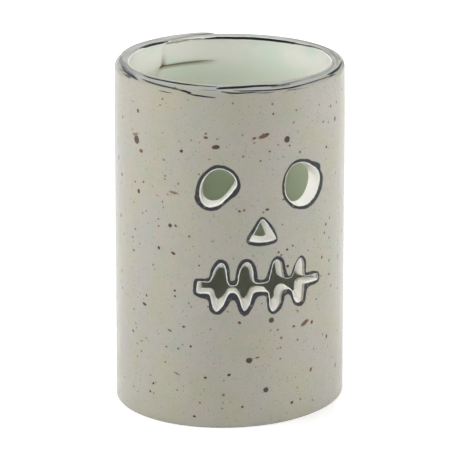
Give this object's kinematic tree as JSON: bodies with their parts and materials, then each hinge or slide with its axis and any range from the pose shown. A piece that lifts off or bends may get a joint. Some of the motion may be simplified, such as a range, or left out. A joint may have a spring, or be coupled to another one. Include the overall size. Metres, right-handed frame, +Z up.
{
  "type": "votive cover",
  "caption": "Round stoneware sleeve, open at top and bottom, with two eyes, a nose and a stitched mouth cut through its wall.",
  "frame": {"origin": "centre of the foot's outline, lap included, on the surface that it stands on", "axes": "+Z up along the sleeve, -Y out through the middle of the face, +X to the right of someone who looks at the face"},
  "size_m": [0.085, 0.0886, 0.1277],
  "materials": {
    "glazed_stoneware": "glossy speckled glaze"
  },
  "bodies": {
    "root": {"sleeve": "glazed_stoneware"}
  },
  "joints": []
}
